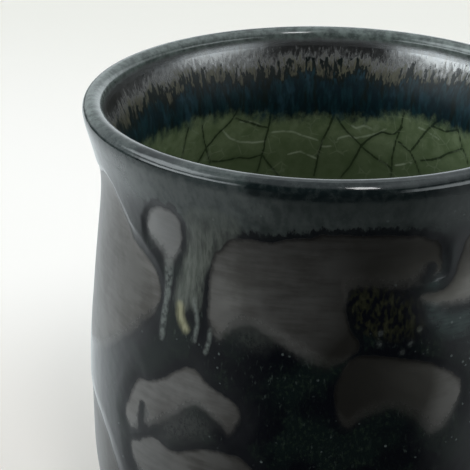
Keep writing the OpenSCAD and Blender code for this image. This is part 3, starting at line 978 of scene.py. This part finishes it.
def outer_glaze():
    wall = OUTER_WALL
    angles = azimuths(OUTSIDE_COLUMNS, SEEN_OUTSIDE_DEG, OUTSIDE_CROWDING)
    low = wall.length_at(GLAZE_LINE_Z) + LOW_EDGE_SWELL * (1 + wave(angles, 3.0, 5))
    high = wall.length_at(RIM_OUT_Z)
    climb = np.linspace(0, 1, OUTSIDE_ROWS)[:, None]
    climb = climb - ROW_CROWDING * np.sin(2 * math.pi * climb) / (2 * math.pi)
    s = low + (high - low) * climb
    r, z = wall.at(s)
    drop = CUP_H - z
    azimuth = spread(angles, drop)
    window = coat_windows(azimuth, drop, turned(r, z, angles))
    swell = DARK_EDGE_LIFT + DARK_EDGE_SWELL * wave(angles, 3.5, 8)
    above = s - (wall.length_at(OVER_LINE_Z) + swell)
    soft = lower_side(window, s) * ramp(above, 4)
    slits = line_distance(azimuth, drop, traced(SLITS_PX, wall), wall)
    painted = np.minimum(np.maximum(window, SLIT_W - slits), above * 1.5)
    painted = np.where(above < 0, -np.maximum(-above, 0.01), painted)
    marks = coat_marks(azimuth, drop, r)
    stands, dip = coat_height(azimuth, drop, window, soft, above)
    gap = (stands * ramp(high - s, LIP_THINNING) ** 0.8 - dip
           - COAT_T * (1 - rounded(s - low, LOW_EDGE_W))
           + MARK_RELIEF * np.maximum(marks["ash_line"], marks["ash_tip"]))
    back = np.linspace(1, 0, UNDERSIDE_ROWS)[:, None] * (high - low) + low
    tiers = [turned(*wall.at(s, gap), angles), turned(*wall.at(back, -COAT_T), angles)]
    make_piece("outer_glaze", tiers, True, {"window": painted, "soft": soft, **marks},
               outer_glaze_material(),
               ["brown_underglaze", "dark_overglaze", "ash_runs"])


def lip_glaze():
    angles = azimuths(LIP_COLUMNS)
    start = LIP_LINE.length_at(RIM_OUT_Z)
    passed = np.nonzero((LIP_LINE.z[:-1] > RIM_IN_Z) & (LIP_LINE.z[1:] <= RIM_IN_Z))[0][-1]
    s = np.linspace(start, LIP_LINE.length[passed + 1], LIP_ROWS)[:, None]
    top = turned(*LIP_LINE.at(s), angles)
    under = turned(*LIP_LINE.at(s[::-1], -COAT_T), angles)
    drop = CUP_H - top[..., 2]
    azimuth = spread(angles, drop)
    dark = np.zeros(drop.shape)
    for first, last, lowest in LIP_DARK_STRETCHES:
        turn = (azimuth - first) % 360
        part = eased(turn + 2, 4) * eased(last - first - turn, 6) * eased(lowest - drop, 0.9)
        dark = np.maximum(dark, part)
    reach = np.hypot(top[..., 0], top[..., 1])
    dark = dark * eased(reach - LIP_CREST_R + 0.7, 0.6)
    worn = WORN_LEAST + (1 - WORN_LEAST) * stretch(azimuth, *WORN_LIP)
    # The painted shade of the coat under the lip is carried onto the lip's glaze as well
    marks = {"dark_lip": dark, "worn": worn, "shade_and_sheen": window_shade_and_sheen(azimuth, drop)}
    make_piece("lip_glaze", [top, under], True, marks, lip_material(), ["rim_glaze"])


def crackle(azimuth, drop, spot):
    """Distances to the cracks, and where bands end lower or the cracks are left to chance."""
    bent = drop + CRACK_WANDER * smooth_noise(spot, 2.0, 21)

    def away(lines_px):
        return line_distance(azimuth, bent, traced(lines_px, INNER_WALL), INNER_WALL, CRACK_REACH)

    beside = (turn_from(azimuth, FREE_NET_MIDDLE) - FREE_NET_HALF) / 8
    return {"crack": away(DARK_CRACKS_PX),
            "pale_crack": away(PALE_CRACKS_PX),
            "deep_blue": DEEP_BLUE_BY * stretch(azimuth, *DEEP_BLUE),
            "short_brown": SHORT_BROWN_BY * stretch(azimuth, *SHORT_BROWN),
            "free_net": ramp(np.maximum((drop - FREE_NET_DROP) / 4, beside), 1)}


def inner_glazes():
    wall = INNER_WALL
    angles = azimuths(INSIDE_COLUMNS, SEEN_INSIDE_DEG, INSIDE_CROWDING)
    material = inner_glaze_material()
    top_end, brown_end, blue_end = map(wall.length_at, (RIM_IN_Z, BROWN_BAND_Z, BLUE_BAND_Z))
    seen_end = blue_end + INSIDE_SEEN_LENGTH
    pool = np.concatenate([np.linspace(blue_end, seen_end, 72, endpoint=False),
                           np.linspace(seen_end, wall.length[-1] - 0.6, 62)])
    bands = (
        ("inner_brown_ring", np.linspace(top_end, brown_end, 20), "brown_band", "inner_brown_band"),
        ("inner_blue_ring", np.linspace(brown_end, blue_end, 26), "blue_band", "inner_blue_band"),
        ("celadon_pool", pool, "green_glaze", "celadon_liner"),
    )
    for name, lengths, slot_name, node in bands:
        top = turned(*wall.at(lengths[:, None]), angles)
        drop = CUP_H - top[..., 2]
        back = np.linspace(lengths[-1], lengths[0], max(20, len(lengths) // 2))[:, None]
        under = turned(*wall.at(back, -COAT_T), angles)
        marks = crackle(spread(angles, drop), drop, top)
        make_piece(name, [top, under], True, marks, material, [node])


def clay():
    angles = azimuths(CLAY_COLUMNS)
    foot = [(POLE_R, RECESS_H), (FOOT_IN_R - FOOT_BEVEL, RECESS_H), (FOOT_IN_R, RECESS_H - FOOT_BEVEL),
            (FOOT_IN_R, FOOT_BEVEL), (FOOT_IN_R + FOOT_BEVEL, 0), (FOOT_R - FOOT_BEVEL, 0),
            (FOOT_R, FOOT_BEVEL), (FOOT_R, FOOT_H - COAT_T)]
    tiers = []
    for (r0, z0), (r1, z1) in zip(foot[:-1], foot[1:]):
        steps = max(3, int(math.hypot(r1 - r0, z1 - z0) / 0.5))
        t = np.linspace(0, 1, steps)[:, None]
        tiers.append(turned(r0 + (r1 - r0) * t, z0 + (z1 - z0) * t, angles))
    s = np.concatenate([np.linspace(0, 20, 80, endpoint=False),
                        np.linspace(20, WHOLE.length[-1] - POLE_R, 150)])[:, None]
    ridges = TURNING_DEPTH * np.sin(s * 2 * math.pi / TURNING_PITCH)
    ridges = ridges * ramp(s, 2) * ramp(TURNED_LENGTH - s, 4)
    tiers.append(turned(*WHOLE.at(s, -COAT_T - 0.05 + ridges), angles))
    make_piece("clay_wall", tiers, False, {}, clay_material(), ["clay_body"])


# Camera, light and stage
def camera_axes():
    pitch, yaw, rise = (math.radians(a) for a in (PITCH_DEG, YAW_DEG, EYE_RISE_DEG))
    eye = np.array([0, -EYE_REACH * math.cos(rise), CUP_H + EYE_REACH * math.sin(rise)])
    ahead = np.array([math.sin(yaw) * math.cos(pitch), math.cos(yaw) * math.cos(pitch),
                      -math.sin(pitch)])
    right = np.cross(ahead, [0, 0, 1])
    right /= np.linalg.norm(right)
    return eye, ahead, right, np.cross(right, ahead)


def traced(lines_px, wall):
    """Lines of azimuths and drops on a wall, behind lines of the photograph's pixels."""
    eye, ahead, right, up = camera_axes()
    order = np.argsort(wall.z)
    side = 1 if wall is INNER_WALL else -1
    found = []
    for line in lines_px:
        spots = []
        for u, v in line:
            across, down = (u - PHOTO_PX / 2) / FOCAL_PX, (v - PHOTO_PX / 2) / FOCAL_PX
            p = eye + RAY_STEPS[:, None] * (ahead + right * across - up * down)
            wall_r = np.interp(p[:, 2], wall.z[order], wall.r[order])
            beyond = side * (np.hypot(p[:, 0], p[:, 1]) - wall_r)
            met = (beyond >= 0) & (side * p[:, 1] > 0) & (p[:, 2] < CUP_H)
            x, y, z = p[np.argmax(met)]
            spots.append((math.degrees(math.atan2(y, x)) % 360, CUP_H - z))
        found.append(spots)
    return found


def aimed(name, data, place, way):
    """A camera or lamp at a place in mm, looking along a way."""
    obj = placed(name, data)
    obj.location = Vector(place) * MM
    obj.rotation_mode = "QUATERNION"
    obj.rotation_quaternion = Vector(way).to_track_quat("-Z", "Y")
    return obj


def camera():
    eye, ahead, _, _ = camera_axes()
    data = bpy.data.cameras.new("camera")
    data.sensor_width = SENSOR_MM
    data.lens = FOCAL_PX * SENSOR_MM / PHOTO_PX
    data.clip_start, data.clip_end = CLIP_M
    bpy.context.scene.camera = aimed("camera", data, eye, ahead)


def ceiling_lamp():
    """An area lamp in front of the cup and above it, facing the lip."""
    data = bpy.data.lights.new("ceiling_lamp", "AREA")
    data.shape = "RECTANGLE"
    data.size, data.size_y = LAMP_SIZE
    data.energy = LAMP_POWER
    a, e = math.radians(LAMP_AZIMUTH), math.radians(LAMP_RISE)
    way = Vector((math.cos(a) * math.cos(e), math.sin(a) * math.cos(e), math.sin(e)))
    aimed("ceiling_lamp", data, Vector((0, 0, CUP_H)) + way * LAMP_REACH, -way)


# The lamp: degrees, distance in mm, size in metres and power in watts
LAMP_AZIMUTH, LAMP_RISE = 293, 52
LAMP_REACH = 1000
LAMP_SIZE = (0.16, 0.32)
LAMP_POWER = 1.9

# The room's light by direction: azimuth, half widths of full and of fading light, lowest
# and highest rise, all in degrees, and the radiance
SKY_LOBES = [
    (206, 9, 32, -2, 13, 5.4),
    (188, 10, 34, 24, 50, 4.4),
    (332, 8, 32, -14, 12, 2.6),
    (30, 40, 90, -14, 20, 0.9),
    (120, 60, 115, 0, 62, 0.8),
    (350, 30, 75, 30, 75, 0.55),
]
SKY_COLOUR = (0.89, 0.965, 1.0)
SKY_BASE = 0.04
ZENITH = (38, 66, 0.6)
RISE_SOFT_DEG = 9

# Painted light on the floor by azimuth round the cup, as the other rays meet it, over a dark base that
# is painted shade
FLOOR_LIGHT_LOBES = [
    (135, 20, 62, 0.48),
    (150, 30, 110, 0.38),
    (5, 15, 58, 0.36),
]
FLOOR_SHADE_BASE = 0.03
TABLE_HALF_X = 0.34
TABLE_FRONT_Y = -0.34
TABLE_BACK_Y = 0.48
TABLE_ROUGH = 0.9
# The floor's colour as the camera sees it, with painted shade nearest the cup and far back: nearest,
# then from one depth to another, in mm
FLOOR_NEAR_SHADE = (0.798, 0.74, 0.688)
FLOOR_SHADE_FADES = [
    (20, 110, (0.944, 0.887, 0.841)),
    (150, 400, (0.846, 0.799, 0.735)),
]
BACKDROP_SEEN = (0.81, 0.824, 0.8)


def world():
    """The room's light by direction, behind a plain backdrop that the camera alone sees."""
    made = bpy.data.worlds.new("studio")
    bpy.context.scene.world = made
    made.use_nodes = True
    n = Nodes(made.node_tree)
    way = n.add("TexCoord").outputs["Generated"]
    rise = n.part(way, "Z")
    total = SKY_BASE
    for azimuth, full, fading, low, high, radiance in SKY_LOBES:
        share = n.facing(way, azimuth, full, fading)
        for edge, half in ((low, RISE_SOFT_DEG / 2), (high, -RISE_SOFT_DEG / 2)):
            start, end = (math.sin(math.radians(a)) for a in (edge - half, edge + half))
            share = n.times(share, n.fade(rise, start, end))
        total = n.plus(n.times(share, radiance), total)
    low, high, radiance = ZENITH
    top = n.fade(rise, math.sin(math.radians(low)), math.sin(math.radians(high)))
    total = n.plus(n.times(top, radiance), total)
    room = n.add("Background", {"Color": SKY_COLOUR, "Strength": total}).outputs[0]
    plain = n.add("Background", {"Color": BACKDROP_SEEN}).outputs[0]
    mixed = n.add("MixShader", enumerate((n.camera_ray(), room, plain)))
    n.add("OutputWorld", {0: mixed.outputs[0]})


def floor():
    """A pale table with painted shade near the cup and far back, which only rays other than the
    camera's meet as a darker one, with painted light and shade round the cup.
    """
    mesh = bpy.data.meshes.new("floor")
    x, front, back = TABLE_HALF_X, TABLE_FRONT_Y, TABLE_BACK_Y
    mesh.from_pydata([(-x, front, 0), (x, front, 0), (x, back, 0), (-x, back, 0)], [],
                     [(0, 1, 2, 3)])
    p = Paint("floor")
    met = FLOOR_SHADE_BASE
    # Painted light by azimuth on a base of painted shade, for the other rays
    for azimuth, full, fading, painted_light in FLOOR_LIGHT_LOBES:
        met = p.plus(p.times(p.facing(p.mm, azimuth, full, fading), painted_light), met)
    # Painted shade near the cup and far back, for the camera
    seen = FLOOR_NEAR_SHADE
    for low, high, colour in FLOOR_SHADE_FADES:
        seen = p.mix(p.fade(p.part(p.mm, "Y"), low, high), seen, colour)
    colour = p.mix(p.camera_ray(), met, seen)
    mesh.materials.append(p.set(Base_Color=colour, Roughness=TABLE_ROUGH, Specular_IOR_Level=0.0))
    placed("floor", mesh)


def main():
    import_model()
    bpy.context.scene.view_settings.view_transform = "Standard"
    camera()
    world()
    floor()
    ceiling_lamp()
    clay()
    outer_glaze()
    lip_glaze()
    inner_glazes()


main()
